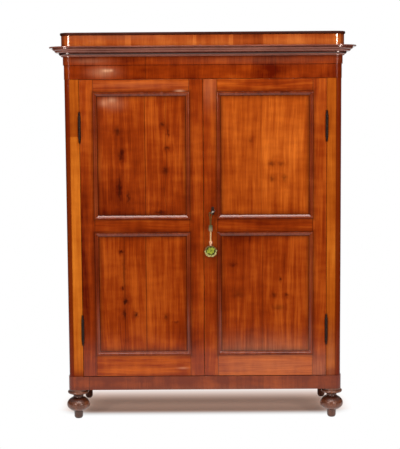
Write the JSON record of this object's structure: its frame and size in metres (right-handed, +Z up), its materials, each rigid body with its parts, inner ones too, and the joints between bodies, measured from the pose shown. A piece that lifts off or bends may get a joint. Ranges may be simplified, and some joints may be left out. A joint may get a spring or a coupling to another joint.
{
  "type": "kas cupboard",
  "caption": "Free-standing kas cupboard with paired panelled doors, moulded cornice under a cap, rounded corners, turned feet, barrel hinges, shelves and a tasselled key.",
  "frame": {"origin": "middle of the footprint on the floor under the feet", "axes": "+Z up, the doors face -Y, +X to the right of someone who faces the doors"},
  "size_m": [1.486, 0.571, 1.902],
  "materials": {
    "polished_frame": "polished reddish hardwood, satin",
    "crossbanded_veneer": "polished veneer with upright grain",
    "panel_veneer": "polished figured veneer",
    "dark_moulding": "dark stained moulding, satin",
    "turned_foot": "dark stained turning",
    "plain_softwood": "plain softwood, unfinished",
    "blackened_iron": "blackened, worn",
    "lock_steel": "old steel, dull",
    "olive_cord": "twisted cord",
    "cream_cord": "twisted cord",
    "green_pompon": "soft looped yarn"
  },
  "bodies": {
    "carcass": {"front_post_left": "polished_frame", "front_post_right": "polished_frame", "rear_posts": "polished_frame", "side_panels": "polished_frame", "plinth_front": "crossbanded_veneer", "plinth_sides": "crossbanded_veneer", "frieze_front": "crossbanded_veneer", "frieze_sides": "crossbanded_veneer", "cap_front": "crossbanded_veneer", "cap_sides": "crossbanded_veneer", "cap_top": "crossbanded_veneer", "cornice_front": "dark_moulding", "cornice_sides": "dark_moulding", "front_foot_left": "turned_foot", "front_foot_right": "turned_foot", "rear_feet": "turned_foot", "plinth_back": "plain_softwood", "base_corner_blocks": "plain_softwood", "bottom_board": "plain_softwood", "back_boards": "plain_softwood", "shelf_lower": "plain_softwood", "shelf_middle": "plain_softwood", "shelf_upper": "plain_softwood", "shelf_cleats": "plain_softwood", "door_stops": "plain_softwood", "frieze_back": "plain_softwood", "top_board": "plain_softwood", "cap_back": "plain_softwood", "left_hinge_pintles": "blackened_iron", "right_hinge_pintles": "blackened_iron"},
    "left_door": {"left_hinge_stile": "polished_frame", "left_meeting_stile": "polished_frame", "left_top_rail": "polished_frame", "left_lock_rail": "polished_frame", "left_bottom_rail": "polished_frame", "left_upper_panel": "panel_veneer", "left_lower_panel": "panel_veneer", "left_door_mouldings": "dark_moulding", "left_hinge_knuckles": "blackened_iron", "left_bolt_guides": "lock_steel"},
    "right_door": {"right_hinge_stile": "polished_frame", "right_meeting_stile": "polished_frame", "right_top_rail": "polished_frame", "right_lock_rail": "polished_frame", "right_bottom_rail": "polished_frame", "right_upper_panel": "panel_veneer", "right_lower_panel": "panel_veneer", "right_door_mouldings": "dark_moulding", "right_hinge_knuckles": "blackened_iron", "lock_case": "lock_steel", "keyhole_escutcheon": "blackened_iron"},
    "key": {"key": "lock_steel"},
    "lock_bolt": {"lock_bolt": "lock_steel"},
    "tassel": {"tassel_loop": "olive_cord", "tassel_knots": "cream_cord", "tassel_drop": "cream_cord", "tassel_ball": "green_pompon"},
    "left_top_bolt": {"left_top_bolt": "lock_steel"},
    "left_bottom_bolt": {"left_bottom_bolt": "lock_steel"}
  },
  "joints": [
    {"name": "left_door_swing", "type": "hinge", "parent": "carcass", "child": "left_door", "pos_m": [-0.6, -0.2175, 0.948], "axis": [0, 0, -1], "range_deg": [0, 170]},
    {"name": "right_door_swing", "type": "hinge", "parent": "carcass", "child": "right_door", "pos_m": [0.6, -0.2175, 0.948], "axis": [0, 0, 1], "range_deg": [0, 170]},
    {"name": "key_turn", "type": "hinge", "parent": "right_door", "child": "key", "pos_m": [0.044, -0.2145, 1.034], "axis": [0, -1, 0], "range_deg": [0, 112]},
    {"name": "lock_bolt_slide", "type": "slide", "parent": "right_door", "child": "lock_bolt", "axis": [-1, 0, 0], "range_m": [0, 0.015]},
    {"name": "tassel_hang", "type": "hinge", "parent": "key", "child": "tassel", "pos_m": [0.03322, -0.2425, 1.02673], "axis": [0, -1, 0], "range_deg": [-112, 0]},
    {"name": "top_bolt_slide", "type": "slide", "parent": "left_door", "child": "left_top_bolt", "axis": [0, 0, 1], "range_m": [0, 0.015]},
    {"name": "bottom_bolt_slide", "type": "slide", "parent": "left_door", "child": "left_bottom_bolt", "axis": [0, 0, -1], "range_m": [0, 0.015]}
  ],
  "couplings": [
    {"joint": "lock_bolt_slide", "follows": "key_turn", "m_per_rad": 0.00767},
    {"joint": "tassel_hang", "follows": "key_turn", "ratio": -1}
  ]
}
